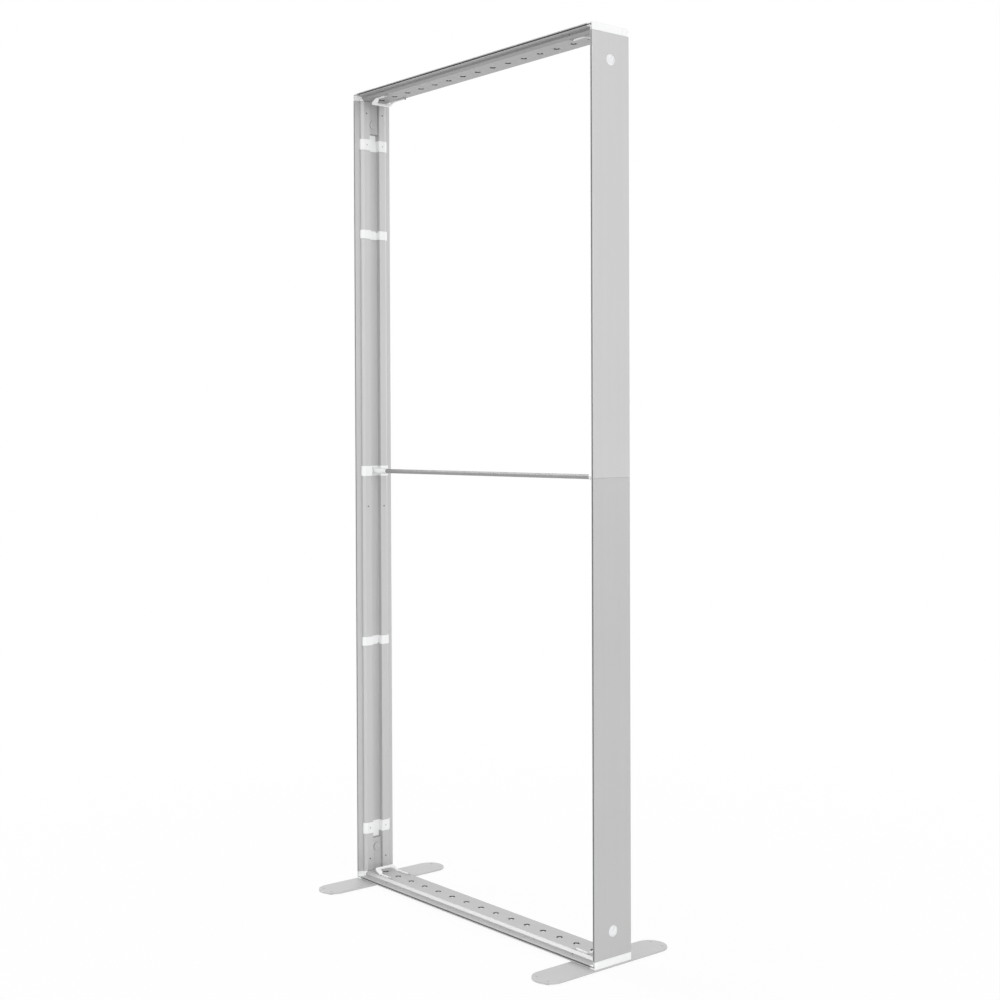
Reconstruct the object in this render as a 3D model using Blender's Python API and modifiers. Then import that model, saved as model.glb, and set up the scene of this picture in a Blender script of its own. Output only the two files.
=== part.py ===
"""A free-standing lightbox display wall: the bare frame that a printed fabric is pressed into.

Two split side posts and two rails of hollow extrusion meet in moulded corner caps. Corner
connectors join them inside, folding lock bails and quarter turn locks hold them, clips
bridge the posts' channels, a sprung cross bar braces the posts at half height, and the
whole stands on two foot plates. Light boards lie in the rails, under a row of holes.

Metres, +Z up. The origin is on the floor under the middle of the frame, the front is -Y.
"""

import math

import bmesh
import bpy
from mathutils import Matrix, Vector

# Driving dimensions of the frame
FRAME_WIDTH = 1.0
FRAME_HEIGHT = 2.25
FRAME_DEPTH = 0.12
POST_SEAM_HEIGHT = 1.171

# Clearances: between touching pieces, and how far a cutter runs past what it cuts
GAP = 0.0003
OVERRUN = 0.002
OVERLAP = 0.0005

# Section of the extrusion: heights are measured from its outer face
PROFILE_HEIGHT = 0.019
PROFILE_WALL = 0.0017
LIP_HEIGHT = 0.008
LEDGE_WIDTH = 0.0167
SHOULDER_HEIGHT = 0.0133
BEVEL_WIDTH = 0.0073
NOSE_CHAMFER = 0.0006
GROOVE_LIP = 0.003
GROOVE_MOUTH = 0.0034
GROOVE_DEPTH = 0.013
GROOVE_BARB_HEIGHT = 0.0004
GROOVE_BARB_LENGTH = 0.0015

# Open channel in the inner face of a post
CHANNEL_WIDTH = 0.0334
CHANNEL_FLOOR = 0.0035
CHANNEL_CHAMFER = 0.0015

# Light holes and the chamber behind them in a rail
LIGHT_CHAMBER_WIDTH = 0.038
LIGHT_HOLE_COUNT = 15
LIGHT_HOLE_PITCH = 0.0625
LIGHT_HOLE_DIAMETER = 0.017
LIGHT_ROW_SHIFT = -0.006

# Light board and lens strip
BOARD_WIDTH = 0.018
BOARD_THICKNESS = 0.0016
BOARD_MARGIN = 0.02
LENS_STRIP_WIDTH = 0.016
LENS_STRIP_THICKNESS = 0.0012
LENS_DIAMETER = 0.014
LENS_HEIGHT = 0.0115
LENS_OUTLINE_SHARES = ((0.95, 0.6), (0.55, 0.92))

# Corner cap
CAP_WALL = 0.0027
CAP_POCKET_WIDTH = 0.07
CAP_RIB_POSITIONS = (0.084, 0.097, 0.114)
CAP_RIB_WIDTH = 0.0016
CAP_RIB_DEPTH = 0.0007
CAP_RIB_MARGIN = 0.0025

# Corner connector
CONNECTOR_PRONG_WIDTH = 0.0127
CONNECTOR_POST_REACH = 0.1
CONNECTOR_RAIL_REACH = 0.11
CONNECTOR_LEG_REACH = 0.109
CONNECTOR_LEG_HEIGHT = 0.011
CONNECTOR_LEAD_IN = 0.003

# Quarter turn cam lock through the post's channel floor
TURN_LOCK_FROM_END = 0.082
TURN_LOCK_HEAD_DIAMETER = 0.028
TURN_LOCK_HEAD_THICKNESS = 0.0018
TURN_LOCK_DISH_DIAMETER = 0.023
TURN_LOCK_DISH_DEPTH = 0.0008
TURN_LOCK_GRIP_WIDTH = 0.005
TURN_LOCK_SHAFT_DIAMETER = 0.016
TURN_LOCK_CAM_DIAMETER = 0.021
TURN_LOCK_CAM_OFFSET = 0.0015
TURN_LOCK_CAM_THICKNESS = 0.0024
TURN_LOCK_SLOT_WIDTH = 0.0022
TURN_LOCK_SLOT_LENGTH = 0.012
TURN_LOCK_SLOT_DEPTH = 0.001
TURN_LOCK_ANGLE = math.radians(45)

# Lock bail on the end of a rail, and the ears that carry it
BAIL_ARM_WIDTH = 0.0046
BAIL_THICKNESS = 0.0034
BAIL_ARM_SPREAD = 0.062
BAIL_ARM_LENGTH = 0.041
BAIL_HANDLE_RUN = 0.0265
BAIL_HANDLE_RISE = 0.0125
BAIL_HANDLE_WIDE_SIDE = 0.0365
BAIL_HANDLE_NARROW_SIDE = 0.029
BAIL_HANDLE_CORNER = 0.007
BAIL_HANDLE_BAR = 0.006
BAIL_WINDOW_SPAN = 0.046
BAIL_WINDOW_CORNER = 0.008
BAIL_LEFT_PIVOT_FROM_EDGE = 0.122
BAIL_RIGHT_PIVOT_FROM_EDGE = 0.098
BAIL_PIN_DIAMETER = 0.0024
BAIL_PIN_LENGTH = 0.0018
EAR_THICKNESS = 0.0018
EAR_RADIUS = 0.003
EAR_HOLE_DIAMETER = 0.0028
EAR_SLOT_LENGTH = 0.007
EAR_SLOT_WIDTH = 0.003
EAR_SLOT_INSET = 0.0005
EAR_SLOT_OFFSET = 0.005

# Screw holes in the posts and in the rails' shoulders
FIXING_HOLE_DIAMETER = 0.0042
FIXING_HOLE_SPREAD = 0.055
FIXING_FROM_END = 0.053
SPLICE_FIXING_BELOW_SEAM = 0.101
SHOULDER_HOLE_DIAMETER = 0.004
SHOULDER_HOLE_HEIGHT = 0.0107

# Splice bars across the posts' seam
SPLICE_BAR_WIDTH = 0.0127
SPLICE_BAR_REACH = 0.12

# Clips over the posts
CLIP_THICKNESS = 0.0015
END_CLIP_FROM_END = 0.1425
END_CLIP_WIDTH = 0.031
LOWER_CLIP_HEIGHT = 0.682
UPPER_CLIP_FROM_TOP = 0.399
MIDDLE_CLIP_WIDTH = 0.025
BAR_CLIP_WIDTH = 0.029
CLIP_TONGUE_WIDTH = 0.0245
CLIP_TONGUE_LENGTH = 0.0155
CLIP_TONGUE_THICKNESS = 0.0013
CLIP_SCREW_SPREAD = 0.054
CLIP_SCREW_DIAMETER = 0.0045
CLIP_NOTCH_WIDTH = 0.0045
CLIP_NOTCH_DEPTH = 0.0035
CUP_WALL = 0.0021
CUP_HEIGHT = 0.0095

# Cross bar
BAR_ABOVE_SEAM = 0.001
BAR_DIAMETER = 0.012
BAR_WALL = 0.0012
SLEEVE_DIAMETER = 0.016
SLEEVE_LENGTH = 0.068
SLEEVE_END_WALL = 0.002
SLEEVE_CHAMFER = 0.0008
SLEEVE_TRAVEL = 0.016
SPRING_SHUT_LENGTH = 0.014
SPRING_WIRE_DIAMETER = 0.0012
SPRING_MEAN_DIAMETER = 0.0104
SPRING_TURNS = 7
SPRING_POINTS_PER_TURN = 8

# Foot plate with its pads and screws
FOOT_WIDTH = 0.085
FOOT_LENGTH = 0.42
FOOT_THICKNESS = 0.0044
FOOT_SCREW_SPREAD = 0.0567
FOOT_SCREW_DIAMETER = 0.006
FOOT_SCREW_HEAD_DIAMETER = 0.0115
FOOT_SCREW_HEAD_HEIGHT = 0.0028
FOOT_SCREW_REACH = 0.0135
FOOT_SCREW_SOCKET_DIAMETER = 0.004
FOOT_SCREW_SOCKET_DEPTH = 0.0018
FOOT_SCREW_SOCKET_SIDES = 6
PAD_DIAMETER = 0.018
PAD_THICKNESS = 0.002
PAD_CHAMFER = 0.0005
PAD_STEM_DIAMETER = 0.006
PAD_STEM_PROUD = 0.0008
PAD_SPREAD = 0.04
PAD_FROM_TIP = 0.02

# Segments of round shapes
HOLE_SEGMENTS = 16
SMALL_HOLE_SEGMENTS = 12
LENS_SEGMENTS = 10
ROUND_SEGMENTS = 28
EAR_SEGMENTS = 6
FOOT_TIP_SEGMENTS = 16
SHARP_ANGLE = math.radians(30)

# Heights and half sizes that follow from the above
WELD_DISTANCE = GAP / 100
FRAME_BASE = PAD_THICKNESS + GAP + FOOT_THICKNESS + GAP
FRAME_TOP = FRAME_BASE + FRAME_HEIGHT
HALF_WIDTH = FRAME_WIDTH / 2
HALF_DEPTH = FRAME_DEPTH / 2
WALL_LINE = HALF_DEPTH - LEDGE_WIDTH
FLAT_LINE = WALL_LINE - BEVEL_WIDTH
GROOVE_END = HALF_DEPTH - GROOVE_DEPTH
CHANNEL_LINE = CHANNEL_WIDTH / 2
PRONG_OUTER = FLAT_LINE - PROFILE_WALL + GAP
PRONG_INNER = PRONG_OUTER - CONNECTOR_PRONG_WIDTH
PRONG_LOW = PROFILE_WALL + GAP
PRONG_HIGH = PROFILE_HEIGHT - PROFILE_WALL - GAP
CLIP_FLOOR = CHANNEL_FLOOR + GAP + CLIP_THICKNESS
BAIL_PIVOT_HEIGHT = PROFILE_HEIGHT + GAP + BAIL_THICKNESS / 2
EAR_INNER = (BAIL_ARM_SPREAD + BAIL_ARM_WIDTH) / 2 + GAP
CROSSBAR_HEIGHT = POST_SEAM_HEIGHT + BAR_ABOVE_SEAM
SPRING_LENGTH = SPRING_SHUT_LENGTH + SLEEVE_TRAVEL

MATERIALS = {
    "aluminium": {"colour": (0.6, 0.6, 0.6), "roughness": 0.42, "metallic": 0.6},
    "white_plastic": {"colour": (0.93, 0.93, 0.93), "roughness": 0.38, "metallic": 0.0},
    "grey_plastic": {"colour": (0.55, 0.55, 0.55), "roughness": 0.5, "metallic": 0.0},
    "plate": {"colour": (0.56, 0.56, 0.56), "roughness": 0.5, "metallic": 0.3},
    "board": {"colour": (0.85, 0.86, 0.85), "roughness": 0.4, "metallic": 0.0},
    "lens": {"colour": (0.8, 0.82, 0.82), "roughness": 0.12, "metallic": 0.0},
    "steel": {"colour": (0.45, 0.45, 0.46), "roughness": 0.3, "metallic": 1.0},
}

parts = bpy.data.collections.new("lightbox_display_wall")
helpers = bpy.data.collections.new("cutters")


def clear_scene():
    for obj in list(bpy.data.objects):
        bpy.data.objects.remove(obj, do_unlink=True)
    for collection in (parts, helpers):
        bpy.context.scene.collection.children.link(collection)


def make_materials():
    made = {}
    for name, look in MATERIALS.items():
        material = bpy.data.materials.new(name)
        material.use_nodes = True
        shader = material.node_tree.nodes["Principled BSDF"]
        shader.inputs["Base Color"].default_value = (*look["colour"], 1.0)
        shader.inputs["Roughness"].default_value = look["roughness"]
        shader.inputs["Metallic"].default_value = look["metallic"]
        made[name] = material
    return made


# Flat outlines


def edge_normals(points, closed):
    """The left-hand normal of each edge of a polyline."""
    ends = points[1:] + points[:1] if closed else points[1:]
    normals = []
    for start, end in zip(points, ends):
        along = (Vector(end) - Vector(start)).normalized()
        normals.append(Vector((-along.y, along.x)))
    return normals


def offset(points, distance, closed=False):
    """The polyline moved to its left by a distance, with mitred corners."""
    normals = edge_normals(points, closed)
    moved = []
    for index, point in enumerate(points):
        after = normals[min(index, len(normals) - 1)]
        before = normals[index - 1] if closed or index > 0 else after
        mitre = (before + after).normalized()
        moved.append(tuple(Vector(point) + mitre * (distance / mitre.dot(after))))
    return moved


def ribbon(path, near, far):
    """A closed outline between two offsets of an open path."""
    return offset(path, near) + offset(path, far)[::-1]


def mirrored(half):
    """An outline that is symmetric about y = 0, from its half on the +y side."""
    return half + [(x, -y) for x, y in reversed(half)]


def arc(centre, radius, start, end, steps):
    """Points of an arc, angles in radians."""
    points = []
    for step in range(steps + 1):
        angle = start + (end - start) * step / steps
        points.append((centre[0] + radius * math.cos(angle), centre[1] + radius * math.sin(angle)))
    return points


# Meshes


def mesh_of(obj):
    """The mesh of an object with its modifiers or bevel applied, welded and facing out."""
    bpy.context.view_layer.update()
    graph = bpy.context.evaluated_depsgraph_get()
    mesh = bpy.data.meshes.new_from_object(obj.evaluated_get(graph))
    bpy.data.objects.remove(obj, do_unlink=True)
    bm = bmesh.new()
    bm.from_mesh(mesh)
    bmesh.ops.remove_doubles(bm, verts=bm.verts, dist=WELD_DISTANCE)
    bmesh.ops.dissolve_degenerate(bm, edges=bm.edges, dist=WELD_DISTANCE)
    bmesh.ops.recalc_face_normals(bm, faces=bm.faces)
    bm.to_mesh(mesh)
    bm.free()
    return mesh


def extruded(loops, low, high):
    """The area inside the first loop and outside the others, from z = low to z = high."""
    curve = bpy.data.curves.new("outline", "CURVE")
    curve.dimensions = "2D"
    curve.fill_mode = "BOTH"
    curve.extrude = (high - low) / 2
    for loop in loops:
        spline = curve.splines.new("POLY")
        spline.points.add(len(loop) - 1)
        for point, (x, y) in zip(spline.points, loop):
            point.co = (x, y, 0, 1)
        spline.use_cyclic_u = True
    obj = bpy.data.objects.new("outline", curve)
    helpers.objects.link(obj)
    mesh = mesh_of(obj)
    mesh.transform(Matrix.Translation((0, 0, (low + high) / 2)))
    return mesh


def upright(loops, low, high):
    """Like extruded, but the outline lies in x and z, and runs from y = low to y = high."""
    return rotated(extruded(loops, -high, -low), 90, "X")


def turned(profile, segments=ROUND_SEGMENTS):
    """A turned solid about z from (radius, height) points, top to bottom down its outer side."""
    mesh = bpy.data.meshes.new("profile")
    points = [(radius, 0, height) for radius, height in profile]
    mesh.from_pydata(points, [(at, at + 1) for at in range(len(points) - 1)], [])
    obj = bpy.data.objects.new("profile", mesh)
    helpers.objects.link(obj)
    screw = obj.modifiers.new("turn", "SCREW")
    screw.steps = segments
    screw.render_steps = segments
    screw.use_merge_vertices = True
    screw.merge_threshold = WELD_DISTANCE
    return mesh_of(obj)


def boxes(*corners):
    """One mesh of boxes, each given by its two opposite corners."""
    bm = bmesh.new()
    for low, high in corners:
        centre = (Vector(low) + Vector(high)) / 2
        size = Vector(high) - Vector(low)
        place = Matrix.Translation(centre) @ Matrix.Diagonal((*size, 1))
        bmesh.ops.create_cube(bm, size=1, matrix=place)
    return mesh_from(bm, "boxes")


def cylinders(axis, radius, spans, segments=HOLE_SEGMENTS):
    """One mesh of cylinders along an axis: each span is its start point and its length."""
    bm = bmesh.new()
    turn = Vector((0, 0, 1)).rotation_difference(Vector(axis)).to_matrix().to_4x4()
    for start, length in spans:
        middle = Vector(start) + Vector(axis) * (length / 2)
        bmesh.ops.create_cone(
            bm,
            cap_ends=True,
            segments=segments,
            radius1=radius,
            radius2=radius,
            depth=length,
            matrix=Matrix.Translation(middle) @ turn,
        )
    return mesh_from(bm, "cylinders")


def mesh_from(bm, name):
    mesh = bpy.data.meshes.new(name)
    bm.to_mesh(mesh)
    bm.free()
    return mesh


def helper(mesh):
    obj = bpy.data.objects.new(mesh.name, mesh)
    helpers.objects.link(obj)
    obj.hide_render = True
    obj.display_type = "WIRE"
    return obj


def combined(mesh, operation, *tools):
    """The mesh after one Boolean with each tool mesh in turn."""
    for tool in tools:
        target = helper(mesh)
        other = helper(tool)
        modifier = target.modifiers.new(operation, "BOOLEAN")
        modifier.operation = operation
        modifier.object = other
        modifier.solver = "EXACT"
        mesh = mesh_of(target)
        bpy.data.objects.remove(other, do_unlink=True)
    return mesh


def cut(mesh, *tools):
    return combined(mesh, "DIFFERENCE", *tools)


def joined(mesh, *tools):
    return combined(mesh, "UNION", *tools)


def moved(mesh, x=0, y=0, z=0):
    copy = mesh.copy()
    copy.transform(Matrix.Translation((x, y, z)))
    return copy


def rotated(mesh, degrees, axis):
    copy = mesh.copy()
    copy.transform(Matrix.Rotation(math.radians(degrees), 4, axis))
    return copy


def place(name, mesh, material, location=(0, 0, 0), turn=None):
    """A named piece at a location, turned by half a turn about an axis where one is given."""
    obj = bpy.data.objects.new(name, mesh)
    if not mesh.materials:
        mesh.materials.append(material)
        mesh.shade_smooth()
        mesh.set_sharp_from_angle(angle=SHARP_ANGLE)
    obj.location = location
    if turn:
        obj.rotation_euler["XYZ".index(turn)] = math.pi
    parts.objects.link(obj)
    return obj


# Places that repeat. In a corner's own frame x runs inwards from the outer face of the post
# and z runs inwards from the outer face of the rail, so that one mesh serves four corners.

CORNERS = {
    "bottom_left": ((-HALF_WIDTH, 0, FRAME_BASE), None),
    "bottom_right": ((HALF_WIDTH, 0, FRAME_BASE), "Z"),
    "top_left": ((-HALF_WIDTH, 0, FRAME_TOP), "X"),
    "top_right": ((HALF_WIDTH, 0, FRAME_TOP), "Y"),
}
SIDES = {
    "left": ((-HALF_WIDTH, 0, FRAME_BASE), None),
    "right": ((HALF_WIDTH, 0, FRAME_BASE), "Z"),
}


def corner_point(corner, point):
    """A point of a corner's own frame, in the world."""
    location, turn = CORNERS[corner]
    matrix = Matrix.Rotation(math.pi, 4, turn) if turn else Matrix.Identity(4)
    return Vector(location) + matrix @ Vector(point)


# The extrusion


def lip_outline():
    """The front edge of the profile from its outer face to the flat, on the +y side."""
    barb_top = GROOVE_LIP - GROOVE_BARB_HEIGHT
    groove_top = GROOVE_LIP + GROOVE_MOUTH
    return [
        (0, HALF_DEPTH - NOSE_CHAMFER),
        (NOSE_CHAMFER, HALF_DEPTH),
        (GROOVE_LIP, HALF_DEPTH),
        (GROOVE_LIP, HALF_DEPTH - GROOVE_BARB_LENGTH),
        (barb_top, HALF_DEPTH - GROOVE_BARB_LENGTH),
        (barb_top, GROOVE_END),
        (groove_top, GROOVE_END),
        (groove_top, HALF_DEPTH),
        (LIP_HEIGHT, HALF_DEPTH),
    ]


def shoulder_outline():
    return [(LIP_HEIGHT, WALL_LINE), (SHOULDER_HEIGHT, WALL_LINE), (PROFILE_HEIGHT, FLAT_LINE)]


def channel_outline():
    """One wall of the channel with the chamfer at its foot."""
    return [
        (PROFILE_HEIGHT, CHANNEL_LINE),
        (CHANNEL_FLOOR + CHANNEL_CHAMFER, CHANNEL_LINE),
        (CHANNEL_FLOOR, CHANNEL_LINE - CHANNEL_CHAMFER),
    ]


def side_chamber(inner_line):
    """The hollow beside the middle of the profile, one wall thickness inside its faces."""
    faces = [
        (0, inner_line),
        (0, GROOVE_END),
        (LIP_HEIGHT, GROOVE_END),
        *shoulder_outline(),
        (PROFILE_HEIGHT, inner_line),
    ]
    return offset(faces, -PROFILE_WALL, closed=True)


def flipped(loop):
    return [(x, -y) for x, y in loop]


def post_loops():
    chamber = side_chamber(CHANNEL_LINE)
    outer = mirrored(lip_outline() + shoulder_outline() + channel_outline())
    return [outer, chamber, flipped(chamber)]


def rail_loops():
    half = LIGHT_CHAMBER_WIDTH / 2
    chamber = side_chamber(half)
    outer = mirrored(lip_outline() + shoulder_outline())
    middle = mirrored([(PROFILE_WALL, half), (PROFILE_HEIGHT - PROFILE_WALL, half)])
    return [outer, middle, chamber, flipped(chamber)]


# Posts


def turn_lock_hole(height):
    """The counterbored hole of a turn lock, through the channel's floor."""
    shaft = TURN_LOCK_SHAFT_DIAMETER / 2 + GAP
    head = TURN_LOCK_HEAD_DIAMETER / 2 + GAP
    seat = GAP + TURN_LOCK_HEAD_THICKNESS + GAP
    start = (-OVERRUN, 0, height)
    axis = (1, 0, 0)
    through = cylinders(axis, shaft, [(start, CHANNEL_FLOOR + 2 * OVERRUN)])
    bore = cylinders(axis, head, [(start, OVERRUN + seat)], ROUND_SEGMENTS)
    return through, bore


def fixing_holes(heights, spread, diameter):
    """Pairs of holes through the inner flats of a post."""
    start = PROFILE_HEIGHT - PROFILE_WALL - OVERRUN
    length = PROFILE_WALL + 2 * OVERRUN
    spans = [((start, side * spread / 2, z), length) for z in heights for side in (-1, 1)]
    return cylinders((1, 0, 0), diameter / 2, spans, SMALL_HOLE_SEGMENTS)


def build_posts(material):
    lower = extruded(post_loops(), PROFILE_HEIGHT + GAP, POST_SEAM_HEIGHT - GAP / 2)
    screws = (FIXING_FROM_END, POST_SEAM_HEIGHT - SPLICE_FIXING_BELOW_SEAM)
    holes = fixing_holes(screws, FIXING_HOLE_SPREAD, FIXING_HOLE_DIAMETER)
    lower = cut(lower, *turn_lock_hole(TURN_LOCK_FROM_END), holes)

    top = FRAME_HEIGHT - PROFILE_HEIGHT - GAP
    upper = extruded(post_loops(), POST_SEAM_HEIGHT + GAP / 2, top)
    screws = (FRAME_HEIGHT - FIXING_FROM_END,)
    holes = fixing_holes(screws, FIXING_HOLE_SPREAD, FIXING_HOLE_DIAMETER)
    upper = cut(upper, *turn_lock_hole(FRAME_HEIGHT - TURN_LOCK_FROM_END), holes)

    for side, (location, turn) in SIDES.items():
        place(f"{side}_lower_post", lower, material, location, turn)
        place(f"{side}_upper_post", upper, material, location, turn)


def build_splice_bars(material):
    bottom = POST_SEAM_HEIGHT - SPLICE_BAR_REACH
    top = POST_SEAM_HEIGHT + SPLICE_BAR_REACH
    middle = PRONG_OUTER - SPLICE_BAR_WIDTH / 2
    half = SPLICE_BAR_WIDTH / 2
    bar = boxes(((PRONG_LOW, -half, bottom), (PRONG_HIGH, half, top)))
    for side, (location, turn) in SIDES.items():
        for face, y in (("front", -middle), ("back", middle)):
            at = Vector(location) + Vector((0, y, 0))
            place(f"{side}_{face}_splice_bar", bar, material, at, turn)


# Rails


def hole_centres():
    middle = (LIGHT_HOLE_COUNT - 1) / 2
    return [(at - middle) * LIGHT_HOLE_PITCH + LIGHT_ROW_SHIFT for at in range(LIGHT_HOLE_COUNT)]


def rail_end_places():
    """For each end of a rail: its outer face's x, the direction inwards, and the bail's pivot."""
    left = -HALF_WIDTH
    right = HALF_WIDTH
    return (
        (left, 1, left + BAIL_LEFT_PIVOT_FROM_EDGE),
        (right, -1, right - BAIL_RIGHT_PIVOT_FROM_EDGE),
    )


def bail_ears():
    """Ears that stand on the rail's flat beside the bails' arm tips, with their pin holes."""
    radius = EAR_RADIUS
    outline = arc((0, BAIL_PIVOT_HEIGHT), radius, 0, math.pi, EAR_SEGMENTS)
    outline += [(-radius, PROFILE_HEIGHT - OVERLAP), (radius, PROFILE_HEIGHT - OVERLAP)]
    hole = arc((0, BAIL_PIVOT_HEIGHT), EAR_HOLE_DIAMETER / 2, 0, 2 * math.pi, SMALL_HOLE_SEGMENTS)
    ear = upright([outline, hole[:-1]], -EAR_THICKNESS / 2, EAR_THICKNESS / 2)
    middle = EAR_INNER + EAR_THICKNESS / 2
    bm = bmesh.new()
    for _, _, pivot in rail_end_places():
        for sign in (-1, 1):
            bm.from_mesh(moved(ear, x=pivot, y=sign * middle))
    return mesh_from(bm, "ears")


def ear_slots():
    """The slots that the ears were pressed out of, further in along the rail."""
    slots = []
    low = PROFILE_HEIGHT - PROFILE_WALL - OVERRUN
    high = PROFILE_HEIGHT + OVERRUN
    for _, inward, pivot in rail_end_places():
        start = pivot + inward * EAR_SLOT_OFFSET
        near, far = sorted((start, start + inward * EAR_SLOT_LENGTH))
        for sign in (-1, 1):
            line = FLAT_LINE - EAR_SLOT_INSET
            inner, outer = sorted((sign * (line - EAR_SLOT_WIDTH), sign * line))
            slots.append(((near, inner, low), (far, outer, high)))
    return boxes(*slots)


def shoulder_holes():
    spans = []
    length = PROFILE_WALL + 2 * OVERLAP
    for _, _, pivot in rail_end_places():
        for sign in (-1, 1):
            middle = sign * (WALL_LINE - PROFILE_WALL / 2)
            spans.append(((pivot, middle - length / 2, SHOULDER_HOLE_HEIGHT), length))
    return cylinders((0, 1, 0), SHOULDER_HOLE_DIAMETER / 2, spans, SMALL_HOLE_SEGMENTS)


def foot_screw_places():
    """Screw positions in a corner's own frame, under the middle of the foot plate."""
    return [(FOOT_WIDTH / 2, sign * FOOT_SCREW_SPREAD / 2) for sign in (-1, 1)]


def rail_screw_holes():
    spans = []
    for edge, inward, _ in rail_end_places():
        for x, y in foot_screw_places():
            spans.append(((edge + inward * x, y, -OVERRUN), PROFILE_WALL + 2 * OVERRUN))
    radius = FOOT_SCREW_DIAMETER / 2 + GAP
    return cylinders((0, 0, 1), radius, spans, SMALL_HOLE_SEGMENTS)


def build_rails(material):
    half_length = HALF_WIDTH - PROFILE_HEIGHT - GAP
    rail = rotated(extruded(rail_loops(), -half_length, half_length), -90, "Y")
    start = PROFILE_HEIGHT - PROFILE_WALL - OVERRUN
    spans = [((x, 0, start), PROFILE_WALL + 2 * OVERRUN) for x in hole_centres()]
    lights = cylinders((0, 0, 1), LIGHT_HOLE_DIAMETER / 2, spans)
    rail = joined(rail, bail_ears())
    rail = cut(rail, lights, ear_slots(), shoulder_holes())
    place("top_rail", rail, material, (0, 0, FRAME_TOP), "X")
    place("bottom_rail", cut(rail, rail_screw_holes()), material, (0, 0, FRAME_BASE))


def build_lights(board_material, lens_material):
    centres = hole_centres()
    low = centres[0] - BOARD_MARGIN
    high = centres[-1] + BOARD_MARGIN
    board_low = PROFILE_WALL + GAP
    board_high = board_low + BOARD_THICKNESS
    board = boxes(((low, -BOARD_WIDTH / 2, board_low), (high, BOARD_WIDTH / 2, board_high)))

    strip_low = board_high + GAP
    strip_high = strip_low + LENS_STRIP_THICKNESS
    half = LENS_STRIP_WIDTH / 2
    strip = boxes(((low, -half, strip_low), (high, half, strip_high)))
    radius = LENS_DIAMETER / 2
    base = strip_high - OVERLAP
    outline = [(0, base + LENS_HEIGHT)]
    for wide, tall in reversed(LENS_OUTLINE_SHARES):
        outline.append((radius * wide, base + LENS_HEIGHT * tall))
    outline += [(radius, base), (0, base)]
    lens = turned(outline, LENS_SEGMENTS)
    bm = bmesh.new()
    for x in centres:
        bm.from_mesh(moved(lens, x=x))
    strip = joined(strip, mesh_from(bm, "lenses"))

    levels = (("bottom", (0, 0, FRAME_BASE), None), ("top", (0, 0, FRAME_TOP), "X"))
    for level, location, turn in levels:
        place(f"{level}_led_board", board, board_material, location, turn)
        place(f"{level}_led_lens_strip", strip, lens_material, location, turn)


# Corner caps


def cap_mesh():
    """The corner block: the profile's outline turned round the corner, with a pocket inside."""
    size = PROFILE_HEIGHT
    block = boxes(((0, -HALF_DEPTH, 0), (size, HALF_DEPTH, size)))
    tools = []
    for sign in (-1, 1):
        tools.append(ledge_cutter(sign))
        tools.append(groove_cutter(sign))
    reach = size + OVERRUN
    half = CAP_POCKET_WIDTH / 2
    tools.append(boxes(((CAP_WALL, -half, CAP_WALL), (reach, half, reach))))
    return cut(block, *tools)


def ledge_cutter(sign):
    """Clears the inner corner above the ledge, out to the bevel and the shoulder."""
    reach = PROFILE_HEIGHT + OVERRUN
    section = [
        (LIP_HEIGHT, HALF_DEPTH + OVERRUN),
        (LIP_HEIGHT, WALL_LINE),
        (SHOULDER_HEIGHT, WALL_LINE),
        (reach, FLAT_LINE - BEVEL_WIDTH * OVERRUN / (PROFILE_HEIGHT - SHOULDER_HEIGHT)),
        (reach, HALF_DEPTH + OVERRUN),
    ]
    section = [(x, sign * y) for x, y in section]
    upright = extruded([section], -OVERRUN, PROFILE_HEIGHT + OVERRUN)
    lying = upright.copy()
    lying.transform(Matrix(((0, 0, 1, 0), (0, 1, 0, 0), (1, 0, 0, 0), (0, 0, 0, 1))))
    lying.flip_normals()
    return combined(upright, "INTERSECT", lying)


def groove_cutter(sign):
    """The fabric groove, which turns the corner in the cap's face."""
    near = GROOVE_LIP
    far = GROOVE_LIP + GROOVE_MOUTH
    low, high = sorted((sign * GROOVE_END, sign * (HALF_DEPTH + OVERRUN)))
    reach = PROFILE_HEIGHT + OVERRUN
    outline = [(near, near), (reach, near), (reach, far), (far, far), (far, reach), (near, reach)]
    return upright([outline], low, high)


def cap_ribs(back):
    """Three short slots in the outer face of a top cap, towards the back of the frame."""
    slots = []
    for position in CAP_RIB_POSITIONS:
        y = back * (position - HALF_DEPTH)
        half = CAP_RIB_WIDTH / 2
        low = (-OVERRUN, y - half, CAP_RIB_MARGIN)
        slots.append((low, (CAP_RIB_DEPTH, y + half, PROFILE_HEIGHT - CAP_RIB_MARGIN)))
    return boxes(*slots)


def build_caps(material):
    plain = cap_mesh()
    for corner, (location, turn) in CORNERS.items():
        mesh = plain
        if corner.startswith("top"):
            mesh = cut(plain, cap_ribs(-1 if turn == "X" else 1))
        place(f"{corner}_corner_cap", mesh, material, location, turn)


# Corner connectors


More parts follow.
